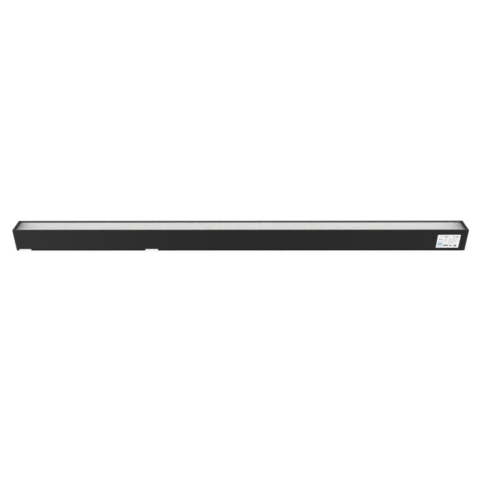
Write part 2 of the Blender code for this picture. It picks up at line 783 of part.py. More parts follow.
def build_wiring(materials):
    """Conductors from the terminal block to the driver and the earth stud, then to the LEDs."""
    start = BLOCK_END + GAP
    into_driver = INPUT_TERMINAL_X - GAP
    mains_poles = (("live", -POLE_PITCH, -MAINS_EXIT_Y), ("neutral", 0, MAINS_EXIT_Y))
    for name, from_y, to_y in mains_poles:
        route = [(start, from_y, CONDUCTOR_Z), (-124, from_y, CONDUCTOR_Z),
                 (-112, (from_y + to_y) / 2, 13.4), (-100, to_y, 15.7),
                 (-94, to_y, DRIVER_SPLIT), (into_driver, to_y, DRIVER_SPLIT)]
        add_wire(f"wire_{name}", route, MAINS_WIRE, materials[name])
    route = [(start, POLE_PITCH, CONDUCTOR_Z), (-127.5, 9.2, 10.9), (-123, 12.4, 9.3),
             (-119, 15.6, 8.2), (EARTH_X - TAG_TAIL - GAP, EARTH_Y, 7.9)]
    add_wire("wire_earth", route, MAINS_WIRE, materials["earth"])
    out_of_driver = OUTPUT_TERMINAL_X + TERMINAL_LENGTH + GAP
    board_height = BOARD_TOP + 4.2
    for name, side in (("positive", -1), ("negative", 1)):
        wide = OUTPUT_EXIT_Y * side
        narrow = 1.1 * side
        route = [
            (out_of_driver, wide, DRIVER_SPLIT), (172, wide, DRIVER_SPLIT),
            (200, 2.2 * side, 15.4), (240, 1.6 * side, 16.0), (272, narrow, 19.0),
            (288, narrow, 23.5), (294.5, narrow, 29.5), (PASSAGE_X, narrow, 34.0),
            (PASSAGE_X, narrow, 39.2), (298.4, narrow, board_height - 0.6),
            (302.6, narrow, board_height), (PASSAGE_X + 10.4, narrow, board_height - 0.3),
        ]
        add_wire(f"wire_dc_{name}", route, OUTPUT_WIRE, materials[name])


def build_earth_stud(brass, steel):
    mesh = bmesh.new()
    top = FLOOR + TAG_THICKNESS
    ring = [(1.9, FLOOR), (4.0, FLOOR), (4.0, top), (1.9, top)]
    tail_end = EARTH_X - TAG_TAIL
    low = (tail_end, EARTH_Y - TAG_HALF, FLOOR)
    lathe(mesh, ring, (EARTH_X, EARTH_Y, 0), "Z", 16)
    terminal = add_part("earth_ring_terminal", mesh, brass)
    tail = bmesh.new()
    box(tail, low, (EARTH_X - 3.2, EARTH_Y + TAG_HALF, top))
    join(terminal, tail, "tail")
    barrel = bmesh.new()
    box(barrel, low, (tail_end + 5.0, EARTH_Y + TAG_HALF, FLOOR + 3.0))
    join(terminal, barrel, "barrel")
    add_screw("earth_screw", (EARTH_X, EARTH_Y, top + GAP), "Z", 1, (1.5, 2.3), (2.9, 2.0), steel)


# ---------------------------------------------------------------- brackets and label

def keyhole_outline(centre_x):
    wide = 4.2
    narrow = 2.2
    reach = 9.0
    meet = math.degrees(math.asin(narrow / wide))
    points = arc(centre_x, 0, wide, meet, 360 - meet, 14)
    points += arc(centre_x + reach, 0, narrow, -90, 90, 6)
    return points


def build_brackets(material, steel):
    """Hanger plates that slide along the rear channel, each with a lock screw."""
    section = [
        (-FOOT_Y + GAP, BRACKET_BOTTOM), (FOOT_Y - GAP, BRACKET_BOTTOM),
        (FOOT_Y - GAP, BRACKET_SHOULDER), (LIP_INNER_Y - GAP, BRACKET_SHOULDER),
        (LIP_INNER_Y - GAP, BRACKET_TOP), (-LIP_INNER_Y + GAP, BRACKET_TOP),
        (-LIP_INNER_Y + GAP, BRACKET_SHOULDER), (-FOOT_Y + GAP, BRACKET_SHOULDER),
    ]
    for name, centre in (("left", -BRACKET_X), ("right", BRACKET_X)):
        origin = (centre, 0, BRACKET_BOTTOM)
        mesh = bmesh.new()
        prism(mesh, section, centre - BRACKET_HALF, centre + BRACKET_HALF, "X")
        bracket = add_part(f"mounting_bracket_{name}", mesh, material, origin=origin)
        holes = bmesh.new()
        below = BRACKET_BOTTOM - PAST
        above = BRACKET_TOP + PAST
        prism(holes, keyhole_outline(centre), below, above, "Z")
        for side in (-1, 1):
            cylinder(holes, (centre, side * BRACKET_HOLE_Y, 0), BRACKET_HOLE, below, above, "Z")
        lock_x = centre + LOCK_SCREW_OFFSET
        cylinder(holes, (lock_x, 0, 0), BRACKET_HOLE, below, above, "Z", 12)
        cut(bracket, holes, "holes")
        mesh = bmesh.new()
        profile = [(0, 1.0), (1.0, 1.0), (1.0, BRACKET_BOTTOM), (1.7, BRACKET_BOTTOM),
                   (2.0, 0.6), (2.0, 4.2), (1.6, 4.5), (0, 4.5)]
        lathe(mesh, profile, (lock_x, 0, 0), "Z", 12)
        add_part(f"bracket_lock_screw_{name}", mesh, steel, origin=origin, smooth=True)


def build_label(material):
    mesh = bmesh.new()
    back = -HALF_WIDTH - LABEL_OFFSET
    low = (LABEL_START, back - LABEL_THICKNESS, LABEL_BOTTOM)
    high = (LABEL_START + LABEL_SIZE[0], back, LABEL_BOTTOM + LABEL_SIZE[1])
    box(mesh, low, high)
    add_part("rating_label", mesh, material)


def main():
    clear_scene()
    black = make_material("black_powder_coat", (0.028, 0.028, 0.029), 0.5)
    cap_black = make_material("black_end_cap", (0.045, 0.045, 0.047), 0.55)
    opal = make_material("opal_acrylic", (0.85, 0.86, 0.86), 0.4)
    label_white = make_material("label_white", (0.8, 0.82, 0.84), 0.45)
    steel = make_material("zinc_steel", (0.6, 0.6, 0.6), 0.35, 1.0)
    tray_steel = make_material("galvanised_tray", (0.55, 0.56, 0.57), 0.45, 1.0)
    bracket_steel = make_material("bracket_steel", (0.5, 0.5, 0.51), 0.4, 1.0)
    white_plastic = make_material("white_plastic", (0.75, 0.75, 0.73), 0.5)
    liner_white = make_material("liner_white", (0.85, 0.85, 0.85), 0.6)
    board_white = make_material("led_board_white", (0.8, 0.8, 0.78), 0.45)
    rubber = make_material("rubber_black", (0.03, 0.03, 0.03), 0.8)
    board_green = make_material("driver_board_green", (0.05, 0.22, 0.1), 0.5)
    ferrite = make_material("ferrite", (0.08, 0.08, 0.09), 0.7)
    can = make_material("capacitor_can", (0.55, 0.57, 0.6), 0.3, 1.0)
    grey_plastic = make_material("grey_plastic", (0.45, 0.46, 0.47), 0.5)
    brass = make_material("tinned_brass", (0.7, 0.62, 0.4), 0.35, 1.0)
    brown = make_material("insulation_brown", (0.22, 0.09, 0.04), 0.5)
    blue = make_material("insulation_blue", (0.05, 0.18, 0.55), 0.5)
    green = make_material("insulation_green", (0.15, 0.45, 0.1), 0.5)
    red = make_material("insulation_red", (0.6, 0.04, 0.03), 0.5)
    dark = make_material("insulation_black", (0.03, 0.03, 0.03), 0.5)

    build_housing(black)
    build_end_caps(cap_black, steel)
    build_diffuser(opal)
    build_led_boards(board_white)
    build_board_links(white_plastic)
    build_supply_connector(white_plastic)
    build_reflectors(liner_white)
    build_gear_tray(tray_steel)
    build_grommets(rubber)
    build_cord_clamp(white_plastic, steel)
    build_terminal_body(grey_plastic)
    build_clamp_springs(steel)
    build_terminal_levers({"live": brown, "neutral": blue, "earth": green})
    build_driver_case(white_plastic)
    build_driver_screws(steel)
    build_driver_contents(board_green, ferrite, can, grey_plastic)
    build_wiring({"live": brown, "neutral": blue, "earth": green, "positive": red, "negative": dark})
    build_earth_stud(brass, steel)
    build_brackets(bracket_steel, steel)
    build_label(label_white)


main()
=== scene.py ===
"""Looks for the LED strip batten: materials, fine edges, screws, label, stage and camera."""
import json
import math

import bmesh
import bpy
from mathutils import Matrix, Vector


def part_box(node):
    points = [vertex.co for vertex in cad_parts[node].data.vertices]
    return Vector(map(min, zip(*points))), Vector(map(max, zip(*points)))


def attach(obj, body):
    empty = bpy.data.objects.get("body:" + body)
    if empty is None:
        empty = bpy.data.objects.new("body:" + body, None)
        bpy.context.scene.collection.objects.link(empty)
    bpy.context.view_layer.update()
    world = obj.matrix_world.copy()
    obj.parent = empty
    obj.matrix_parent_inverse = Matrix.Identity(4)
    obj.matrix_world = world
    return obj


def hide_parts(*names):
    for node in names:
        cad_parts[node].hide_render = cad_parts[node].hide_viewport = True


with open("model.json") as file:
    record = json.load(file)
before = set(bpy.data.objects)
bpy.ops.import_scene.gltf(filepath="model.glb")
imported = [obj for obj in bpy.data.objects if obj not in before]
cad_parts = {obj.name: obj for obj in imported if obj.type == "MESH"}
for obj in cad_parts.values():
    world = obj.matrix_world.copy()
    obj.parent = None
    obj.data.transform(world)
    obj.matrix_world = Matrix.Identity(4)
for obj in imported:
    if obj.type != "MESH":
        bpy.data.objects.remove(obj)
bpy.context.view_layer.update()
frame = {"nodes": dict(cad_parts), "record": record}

NODES = frame["nodes"]
MM = 0.001
ROOT = "batten"

# Edges and shading of the CAD nodes; angles in degrees
SHARP_ANGLE = 38
PIECE_SHARP_ANGLE = 35
WELD_DISTANCE = 0.005 * MM
FLAT_ANGLE = 0.5
BEVEL_SEGMENTS = 2
NORMAL_WEIGHT = 90

# Housing coat: painted light inside the rims and painted shade along the bottom lips, the zones of the
# extrusion that differ from the rest
RIM_MARGIN = 1.5 * MM
RIM_ZONE_BOTTOM = 55 * MM
# Painted light: lighter grey on the rims' inner faces, for the glow of the bright cover
RIM_PAINTED_LIGHT = (0.08, 0.08, 0.08, 1.0)
# Painted shade: the band of the lowest walls that is darkened, and how dark it gets
LIP_ZONE = (4.0 * MM, 6.5 * MM)
LIP_SHADE = 0.15
HOUSING_SPECULAR = 0.38

# Opal cover: depth of the painted shade at its ends, and its reach in metres at mid width and at the edges
END_PAINTED_SHADE = 0.84
END_REACH = (0.021, 0.011)

# Label: corner radius and how much of the film's depth lies behind its print
LABEL_RADIUS = 1.2 * MM
PRINT_DEPTH = 0.2

# End cap screws
SCREW_SEGMENTS = 32
SCREW_HEAD_RADIUS = 2.7 * MM
SCREW_HEAD_DEPTH = 1.7 * MM
SCREW_HEAD_RIM = 0.6 * MM
SCREW_HEAD_BREAK = (0.1 * MM, 0.15 * MM)
SCREW_CREST = 1.3 * MM
SCREW_ROOT = 1.05 * MM
SCREW_PITCH = 1.1 * MM
SCREW_POINT = 1.0 * MM
CROSS_DEPTH = 0.9 * MM
CROSS_HALF_WIDTH = 0.32 * MM
CROSS_HALF_LENGTH = 1.45 * MM
CROSS_TAPER = 0.75

# Floor and camera; the lens is in millimetres, places in metres, angles in degrees
FLOOR_HALF = 30.0
FLOOR_Z = -0.0002
FLOOR_GLOW = 0.74
LENS = 42.54
SENSOR_WIDTH = 36.0
CAMERA_PLACE = (0.0062, -1.3175, 0.80435)
CAMERA_TURN = 0.306
CAMERA_DIP = 30.849
CAMERA_ROLL = -0.187


# ---------------------------------------------------------------- material building blocks

class Surface:
    """A Principled material with short ways to add procedural nodes in object space."""

    def __init__(self, name):
        self.material = bpy.data.materials.new(name)
        self.material.use_nodes = True
        self.tree = self.material.node_tree
        self.shader = self.tree.nodes["Principled BSDF"]
        self.place = self.tree.nodes.new("ShaderNodeTexCoord").outputs["Object"]

    def node(self, kind, **settings):
        made = self.tree.nodes.new(kind)
        for key, value in settings.items():
            setattr(made, key, value)
        return made

    def link(self, source, target):
        self.tree.links.new(source, target)

    def stretched(self, scale):
        """Object coordinates scaled along each axis."""
        mapping = self.node("ShaderNodeMapping")
        mapping.inputs["Scale"].default_value = scale
        self.link(self.place, mapping.inputs["Vector"])
        return mapping.outputs["Vector"]

    def noise(self, scale, detail=3.0, roughness=0.55, stretch=(1, 1, 1)):
        made = self.node("ShaderNodeTexNoise")
        made.inputs["Scale"].default_value = scale
        made.inputs["Detail"].default_value = detail
        made.inputs["Roughness"].default_value = roughness
        self.link(self.stretched(stretch), made.inputs["Vector"])
        return made.outputs["Fac"]

    def math(self, operation, first, second=None, third=None):
        made = self.node("ShaderNodeMath", operation=operation)
        for socket, value in zip(made.inputs, (first, second, third)):
            if value is None:
                continue
            if isinstance(value, (int, float)):
                socket.default_value = value
            else:
                self.link(value, socket)
        return made.outputs["Value"]

    def ranged(self, value, low, high, new_low, new_high, smooth=False):
        made = self.node("ShaderNodeMapRange")
        made.interpolation_type = "SMOOTHSTEP" if smooth else "LINEAR"
        self.link(value, made.inputs["Value"])
        limits = (low, high, new_low, new_high)
        for socket, limit in zip(("From Min", "From Max", "To Min", "To Max"), limits):
            made.inputs[socket].default_value = limit
        return made.outputs["Result"]

    def between(self, factor, dark, light):
        """Colour mixed from dark to light by a factor."""
        mix = self.node("ShaderNodeMix", data_type="RGBA")
        self.link(factor, mix.inputs["Factor"])
        mix.inputs["A"].default_value = (*dark, 1.0)
        mix.inputs["B"].default_value = (*light, 1.0)
        return mix.outputs["Result"]

    def scaled(self, colour, factor):
        """Colour multiplied by a grey factor."""
        mix = self.node("ShaderNodeMix", data_type="RGBA", blend_type="MULTIPLY")
        mix.inputs["Factor"].default_value = 1.0
        self.link(colour, mix.inputs["A"])
        self.link(factor, mix.inputs["B"])
        return mix.outputs["Result"]

    def axis(self, letter):
        split = self.node("ShaderNodeSeparateXYZ")
        self.link(self.place, split.inputs["Vector"])
        return split.outputs[letter]

    def base(self, colour):
        self.link(colour, self.shader.inputs["Base Color"])

    def roughness(self, low, high, factor):
        self.link(self.ranged(factor, 0.25, 0.75, low, high), self.shader.inputs["Roughness"])

    def bump(self, height, distance, strength):
        made = self.node("ShaderNodeBump")
        made.inputs["Strength"].default_value = strength
        made.inputs["Distance"].default_value = distance
        self.link(height, made.inputs["Height"])
        self.link(made.outputs["Normal"], self.shader.inputs["Normal"])

    def fixed(self, **sockets):
        for name, value in sockets.items():
            self.shader.inputs[name.replace("_", " ")].default_value = value


def shade(colour, factor):
    return tuple(channel * factor for channel in colour)


def moulded(name, colour, rough=0.5, grain=2500.0, height=0.00002, spread=0.12):
    """Moulded plastic or rubber: slight mottling, fine grain."""
    surface = Surface(name)
    mottle = surface.noise(60.0, 4.0)
    surface.base(surface.between(mottle, shade(colour, 1 - spread), shade(colour, 1 + spread)))
    grain_noise = surface.noise(grain, 2.0)
    surface.roughness(rough - 0.07, rough + 0.07, grain_noise)
    surface.bump(grain_noise, height, 0.35)
    return surface.material


def powder_coat(name, colour, rough, grain=1400.0):
    """Fine-textured powder coat with faint drawing marks along the extrusion."""
    surface = Surface(name)
    drift = surface.noise(9.0, 3.0)
    drawn = surface.noise(1.0, 3.0, stretch=(3.0, 900.0, 900.0))
    colour_factor = surface.math("MULTIPLY_ADD", drawn, 0.35, surface.math("MULTIPLY", drift, 0.65))
    coat = surface.between(colour_factor, shade(colour, 0.82), shade(colour, 1.18))
    surface.base(coat)
    peel = surface.noise(grain, 4.0, 0.6)
    surface.roughness(rough - 0.08, rough + 0.08, peel)
    surface.bump(peel, 0.00006, 0.5)
    return surface, coat


def housing_coat(name, colour, rough):
    """Powder coat, with painted light inside the rims beside the cover and painted shade along the bottom
    lips.
    """
    surface, coat = powder_coat(name, colour, rough)
    wall_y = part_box("housing")[1].y
    rim_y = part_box("diffuser")[1].y
    across = surface.math("ABSOLUTE", surface.axis("Y"))
    height = surface.axis("Z")
    # Painted light: the rims' inner faces above the cover take a lighter grey, for the glow of the bright
    # cover
    inside = surface.math("LESS_THAN", across, 0.5 * (rim_y + wall_y) - RIM_MARGIN)
    above = surface.math("GREATER_THAN", height, RIM_ZONE_BOTTOM)
    painted_rim_light = surface.math("MULTIPLY", inside, above)
    mixed = surface.node("ShaderNodeMix", data_type="RGBA")
    surface.link(painted_rim_light, mixed.inputs["Factor"])
    surface.link(coat, mixed.inputs["A"])
    mixed.inputs["B"].default_value = RIM_PAINTED_LIGHT
    # Painted shade: the base colour darkens along the bottom lips, for the shadow near the floor
    painted_lip_shade = surface.ranged(height, *LIP_ZONE, LIP_SHADE, 1.0, smooth=True)
    surface.base(surface.scaled(mixed.outputs["Result"], painted_lip_shade))
    surface.fixed(Specular_IOR_Level=HOUSING_SPECULAR)
    return surface.material


def sheet_metal(name, colour, rough, direction=(1, 1, 1), spangle=0.0):
    """Plated sheet or wire: brushed streaks, and crystal spangle where it is galvanised."""
    surface = Surface(name)
    streaks = surface.noise(1.0, 3.0, stretch=tuple(800.0 / step for step in direction))
    factor = streaks
    if spangle:
        cells = surface.node("ShaderNodeTexVoronoi")
        cells.inputs["Scale"].default_value = spangle
        surface.link(surface.place, cells.inputs["Vector"])
        grey = surface.node("ShaderNodeRGBToBW")
        surface.link(cells.outputs["Color"], grey.inputs["Color"])
        crystal = surface.ranged(grey.outputs["Val"], 0.25, 0.75, 0, 1)
        half = surface.math("MULTIPLY", streaks, 0.3)
        factor = surface.math("MULTIPLY_ADD", crystal, 0.7, half)
    surface.base(surface.between(factor, shade(colour, 0.76), shade(colour, 1.16)))
    surface.roughness(rough - 0.08, rough + 0.1, factor)
    surface.bump(streaks, 0.00001, 0.25)
    surface.fixed(Metallic=1.0)
    return surface.material


def opal(name):
    """Satin opal cover: fine flow lines, painted shading across it, and painted shade at the ends where the
    caps stand.
    """
    half_length, half_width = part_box("diffuser")[1].xy
    surface = Surface(name)
    along = surface.math("ABSOLUTE", surface.axis("X"))
    across = surface.math("ABSOLUTE", surface.axis("Y"))
    lines = surface.noise(1.0, 2.0, stretch=(2.5, 420.0, 1.0))
    cloud = surface.noise(14.0, 3.0, stretch=(0.5, 3.0, 1.0))
    tint = surface.math("MULTIPLY_ADD", lines, 0.5, surface.math("MULTIPLY", cloud, 0.5))
    plain = surface.between(surface.ranged(tint, 0.3, 0.7, 0, 1), (0.68, 0.675, 0.665), (0.76, 0.755, 0.745))
    # Painted shading: darker along the middle of the cover and lighter towards its long edges
    edge = surface.ranged(across, 0.2 * half_width, half_width, 0.93, 1.04, smooth=True)
    # Painted shade: the cover darkens towards its ends, for the shadow of the caps
    reach = surface.ranged(across, 0, half_width, *END_REACH)
    inward = surface.math("DIVIDE", surface.math("SUBTRACT", along, half_length), reach)
    painted_end_shade = surface.math("MULTIPLY_ADD", surface.math("EXPONENT", inward), -END_PAINTED_SHADE, 1.0)
    surface.base(surface.scaled(surface.scaled(plain, edge), painted_end_shade))
    satin = surface.noise(1800.0, 2.0)
    surface.roughness(0.42, 0.52, satin)
    surface.bump(satin, 0.00001, 0.2)
    surface.fixed(Subsurface_Weight=0.15, Subsurface_Scale=0.004)
    return surface.material


def board_surface(name, colour, line_colour, pitch):
    """Circuit board: solder mask with faint copper tracks along its length."""
    surface = Surface(name)
    wave = surface.node("ShaderNodeTexWave", bands_direction="Y")
    wave.inputs["Scale"].default_value = pitch
    wave.inputs["Distortion"].default_value = 1.5
    surface.link(surface.place, wave.inputs["Vector"])
    tracks = surface.ranged(wave.outputs["Fac"], 0.8, 0.95, 0, 1, smooth=True)
    surface.base(surface.between(tracks, colour, line_colour))
    grain = surface.noise(900.0)
    surface.roughness(0.3, 0.5, grain)
    surface.bump(tracks, 0.00003, 0.4)
    return surface.material


def make_materials():
    black = (0.008, 0.008, 0.008)
    return {
        "black_powder_coat": housing_coat("black_powder_coat", black, 0.44),
        "black_end_cap": powder_coat("black_end_cap", (0.014, 0.014, 0.0145), 0.42, 2200.0)[0].material,
        "opal_acrylic": opal("opal_acrylic"),
        "label_white": moulded("label_white", (0.86, 0.862, 0.868), 0.4, 900.0, 0.000005, 0.02),
        "zinc_steel": sheet_metal("zinc_steel", (0.62, 0.62, 0.6), 0.3),
        "galvanised_tray": sheet_metal("galvanised_tray", (0.5, 0.51, 0.52), 0.42, spangle=120.0),
        "bracket_steel": sheet_metal("bracket_steel", (0.55, 0.55, 0.56), 0.36, (40, 1, 1)),
        "white_plastic": moulded("white_plastic", (0.72, 0.72, 0.7), 0.45, spread=0.04),
        "liner_white": powder_coat("liner_white", (0.75, 0.75, 0.75), 0.6)[0].material,
        "led_board_white": board_surface("led_board_white", (0.78, 0.78, 0.76), (0.7, 0.69, 0.64), 300.0),
        "rubber_black": moulded("rubber_black", (0.02, 0.02, 0.02), 0.75, 1500.0),
        "driver_board_green": board_surface(
            "driver_board_green", (0.03, 0.16, 0.07), (0.09, 0.3, 0.13), 260.0),
        "ferrite": moulded("ferrite", (0.06, 0.06, 0.065), 0.7, 900.0, 0.00008),
        "capacitor_can": sheet_metal("capacitor_can", (0.6, 0.61, 0.63), 0.25),
        "grey_plastic": moulded("grey_plastic", (0.4, 0.41, 0.42), 0.45),
        "tinned_brass": sheet_metal("tinned_brass", (0.72, 0.64, 0.45), 0.3),
        "insulation_brown": moulded("insulation_brown", (0.18, 0.07, 0.03), 0.4),
        "insulation_blue": moulded("insulation_blue", (0.03, 0.12, 0.5), 0.4),
        "insulation_green": moulded("insulation_green", (0.12, 0.4, 0.08), 0.4),
        "insulation_red": moulded("insulation_red", (0.5, 0.02, 0.02), 0.4),
        "insulation_black": moulded("insulation_black", (0.02, 0.02, 0.02), 0.4),
    }


# ---------------------------------------------------------------- mesh helpers

def arc(centre_u, centre_v, radius, start, end, steps):
    points = []
    for step in range(steps + 1):
        angle = math.radians(start + (end - start) * step / steps)
        points.append((centre_u + radius * math.cos(angle), centre_v + radius * math.sin(angle)))
    return points


def rounded_rectangle(low, high, radius, steps=6):
    corners = [(high[0], high[1], 0), (low[0], high[1], 90), (low[0], low[1], 180), (high[0], low[1], 270)]
    points = []
    for u, v, start in corners:
        centre_u = u - radius if u == high[0] else u + radius
        centre_v = v - radius if v == high[1] else v + radius
        points += arc(centre_u, centre_v, radius, start, start + 90, steps)
    return points


def front_plate(mesh, outline, front, back):
    """Thin plate whose outline lies in X and Z, between two depths along Y."""
    rings = [[mesh.verts.new((x, y, z)) for x, z in outline] for y in (front, back)]
    mesh.faces.new(rings[0])
    mesh.faces.new(rings[1])
    count = len(outline)
    for index in range(count):
        after = (index + 1) % count
        mesh.faces.new((rings[0][index], rings[0][after], rings[1][after], rings[1][index]))


def add_piece(name, mesh, material, body=ROOT, smooth=False):
    bmesh.ops.recalc_face_normals(mesh, faces=mesh.faces)
    data = bpy.data.meshes.new(name)
    mesh.to_mesh(data)
    mesh.free()
    data.materials.append(material)
    if smooth:
        data.shade_smooth()
        data.set_sharp_from_angle(angle=math.radians(PIECE_SHARP_ANGLE))
    piece = bpy.data.objects.new(name, data)
    bpy.context.scene.collection.objects.link(piece)
    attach(piece, body)
    return piece


# ---------------------------------------------------------------- CAD nodes

def finish_edges(node, width):
    """Cleans a CAD node's faceting and rounds its sharp edges, with modifiers only."""
    obj = NODES[node]
    weld = obj.modifiers.new("weld", "WELD")
    weld.merge_threshold = WELD_DISTANCE
    flat = obj.modifiers.new("flat", "DECIMATE")
    flat.decimate_type = "DISSOLVE"
    flat.angle_limit = math.radians(FLAT_ANGLE)
    bevel = obj.modifiers.new("edges", "BEVEL")
    bevel.width = width
    bevel.segments = BEVEL_SEGMENTS
    bevel.limit_method = "ANGLE"
    bevel.angle_limit = math.radians(SHARP_ANGLE)
    flatten = obj.modifiers.new("normals", "WEIGHTED_NORMAL")
    flatten.mode = "FACE_AREA"
    flatten.weight = NORMAL_WEIGHT
    flatten.keep_sharp = True


def dress_nodes(materials):
    """Every CAD node takes the procedural material of its slot, and smooth shading by angle."""
    for entry in frame["record"]["subparts"]:
        obj = NODES[entry["node"]]
        obj.data.materials.clear()
        obj.data.materials.append(materials[entry["material_slot"]])
        obj.data.shade_smooth()
        obj.data.set_sharp_from_angle(angle=math.radians(SHARP_ANGLE))
    bevel_widths = {
        "housing": 0.15 * MM, "end_cap_left": 0.3 * MM, "end_cap_right": 0.3 * MM,
        "diffuser": 0.12 * MM, "gear_tray": 0.12 * MM, "mounting_bracket_left": 0.2 * MM,
        "mounting_bracket_right": 0.2 * MM, "cord_clamp": 0.3 * MM, "terminal_block_body": 0.3 * MM,
        "driver_case_base": 0.3 * MM, "driver_case_cover": 0.5 * MM, "driver_transformer": 0.3 * MM,
        "driver_input_terminal": 0.3 * MM, "driver_output_terminal": 0.3 * MM,
        "supply_connector": 0.3 * MM,
    }
    for node, width in bevel_widths.items():
        finish_edges(node, width)


# ---------------------------------------------------------------- label

def build_label(materials):
    """Plain generic label: film, and abstract bars and blocks in place of its print."""
    low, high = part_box("rating_label")
    depth = high.y - low.y
    film_front = low.y + PRINT_DEPTH * depth
    mesh = bmesh.new()
    outline = rounded_rectangle((low.x, low.z), (high.x, high.z), LABEL_RADIUS)
    front_plate(mesh, outline, film_front, high.y)
    film = add_piece("label_film", mesh, materials["label_white"])
    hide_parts("rating_label")

    # Bars as (left, bottom, width, height), in millimetres from the label's lower left corner
    dark = [(20.6, 31.4, 4.2, 3.6), (41.0, 31.8, 4.6, 2.4), (48.8, 31.2, 4.2, 3.0)]
    dark += [(18.0 + 2.4 * index, 4.8, 1.7, 4.8) for index in range(6)]
    dark += [(35.4, 4.6, 3.8, 3.8), (43.2, 5.4, 1.6, 1.6), (47.0, 4.2, 6.4, 4.4)]
    grey = [(7.0 + 3.6 * index, 32.4, 2.6, 1.2) for index in range(3)]
    grey += [(27.0 + 3.2 * index, 32.4, 2.3, 1.0) for index in range(2)]
    grey += [(53.4, 32.4, 2.6, 1.2), (3.6, 24.4, 10.0, 1.8), (41.4, 5.6, 4.2, 1.0)]
    pale = []
    for row, width in enumerate((22.0, 25.0, 20.0, 24.0, 17.0)):
        pale.append((29.5, 26.6 - 3.2 * row, width, 1.0))
    pink = [(17.0, 27.6 - 3.2 * row, width, 1.1) for row, width in enumerate((7.0, 9.0, 8.0, 9.5))]
    teal = [(4.0, 9.0, 3.2, 4.6), (7.6, 9.0, 2.8, 4.6), (10.8, 9.0, 3.2, 4.6)]
    blue = [(1.4, 1.4, 15.0, 19.0)]
    prints = (
        ("label_patch_blue", blue, (0.64, 0.765, 0.8), 0.35),
        ("label_marks_pale", pale, (0.44, 0.44, 0.46), 0.8),
        ("label_marks_pink", pink, (0.6, 0.48, 0.52), 0.8),
        ("label_marks_grey", grey, (0.28, 0.28, 0.29), 0.8),
        ("label_marks_dark", dark, (0.05, 0.05, 0.055), 0.8),
        ("label_blocks_teal", teal, (0.27, 0.38, 0.40), 1.0),
    )
    for name, bars, colour, lift in prints:
        mesh = bmesh.new()
        front = film_front - (film_front - low.y) * lift
        for u, v, width, height in bars:
            corner = (low.x + u * MM, low.z + v * MM)
            opposite = (corner[0] + width * MM, corner[1] + height * MM)
            radius = 0.2 * min(width, height) * MM
            front_plate(mesh, rounded_rectangle(corner, opposite, radius, 3), front, film_front)
        ink = moulded(name, colour, 0.4, 900.0, 0.000003, 0.05)
        add_piece(name, mesh, ink)


# ---------------------------------------------------------------- end cap screws

def lathe(mesh, profile, centre, side, segments):
    """Turned shape along X; rows are (radius, distance out of the end face)."""
    rings = []
    for radius, along in profile:
        count = segments if radius > 0 else 1
        ring = []
        for index in range(count):
            angle = 2 * math.pi * index / segments
            offset = Vector((side * along, radius * math.cos(angle), radius * math.sin(angle)))
            ring.append(mesh.verts.new(centre + offset))
        rings.append(ring)
    for lower, upper in zip(rings, rings[1:]):
        for index in range(segments):
            after = (index + 1) % segments
            corners = [lower[index % len(lower)], lower[after % len(lower)],
                       upper[after % len(upper)], upper[index % len(upper)]]
            mesh.faces.new(list(dict.fromkeys(corners)))


def build_end_screws(materials):
    """Pan heads with a cross recess, in place of the plain CAD screws."""
    for node in sorted(name for name in NODES if name.startswith("end_cap_screw_")):
        low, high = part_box(node)
        side = 1 if high.x > 0 else -1
        outer = high.x if side > 0 else low.x
        centre = Vector((0, (low.y + high.y) / 2, (low.z + high.z) / 2))
        reach = abs(outer)
        tip = reach - (high.x - low.x)
        seat = reach - SCREW_HEAD_DEPTH
        thread_start = tip + SCREW_POINT
        rows = [(0, tip), (0.5 * SCREW_ROOT, tip), (SCREW_ROOT, thread_start)]
        turns = int((seat - thread_start - SCREW_POINT) / SCREW_PITCH)
        for turn in range(turns):
            start = thread_start + turn * SCREW_PITCH
            rows += [(SCREW_CREST, start + 0.5 * SCREW_PITCH), (SCREW_ROOT, start + SCREW_PITCH)]
        inset, rise = SCREW_HEAD_BREAK
        rows += [(SCREW_CREST, seat), (SCREW_HEAD_RADIUS - inset, seat)]
        rows.append((SCREW_HEAD_RADIUS, seat + rise))
        dome_base = seat + SCREW_HEAD_RIM
        for step in range(1, 7):
            angle = math.radians(15 * step)
            radius = SCREW_HEAD_RADIUS * math.cos(angle) if step < 6 else 0
            rows.append((radius, dome_base + (reach - dome_base) * math.sin(angle)))
        mesh = bmesh.new()
        lathe(mesh, rows, centre, side, SCREW_SEGMENTS)
        screw = add_piece(node + "_fine", mesh, materials["zinc_steel"], smooth=True)
        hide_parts(node)
        cut_cross(screw, Vector((side * reach, centre.y, centre.z)), side)


def cut_cross(screw, top, side):
    """Cross recess pressed into a screw head."""
    mesh = bmesh.new()
    for long_axis in (0, 1):
        half = [CROSS_HALF_WIDTH, CROSS_HALF_WIDTH]
        half[long_axis] = CROSS_HALF_LENGTH
        corners = []
        for x in (-CROSS_DEPTH, CROSS_DEPTH):
            shrink = CROSS_TAPER if x < 0 else 1.0
            for u, v in ((-1, -1), (1, -1), (1, 1), (-1, 1)):
                offset = Vector((side * x, u * half[0] * shrink, v * half[1] * shrink))
                corners.append(mesh.verts.new(top + offset))
        sides = ((0, 1, 2, 3), (4, 5, 6, 7), (0, 1, 5, 4), (1, 2, 6, 5), (2, 3, 7, 6), (3, 0, 4, 7))
        for face in sides:
            mesh.faces.new([corners[index] for index in face])
    bmesh.ops.recalc_face_normals(mesh, faces=mesh.faces)
    data = bpy.data.meshes.new("cross_cutter")
    mesh.to_mesh(data)
    mesh.free()
    cutter = bpy.data.objects.new("cross_cutter", data)
    bpy.context.scene.collection.objects.link(cutter)
    modifier = screw.modifiers.new("cross", "BOOLEAN")
    modifier.object = cutter
    modifier.solver = "EXACT"
    modifier.use_self = True
    bpy.context.view_layer.update()
    evaluated = screw.evaluated_get(bpy.context.evaluated_depsgraph_get())
    result = bpy.data.meshes.new_from_object(evaluated)
    screw.modifiers.clear()
    screw.data = result
    bpy.data.objects.remove(cutter)


# ---------------------------------------------------------------- stage, light and camera

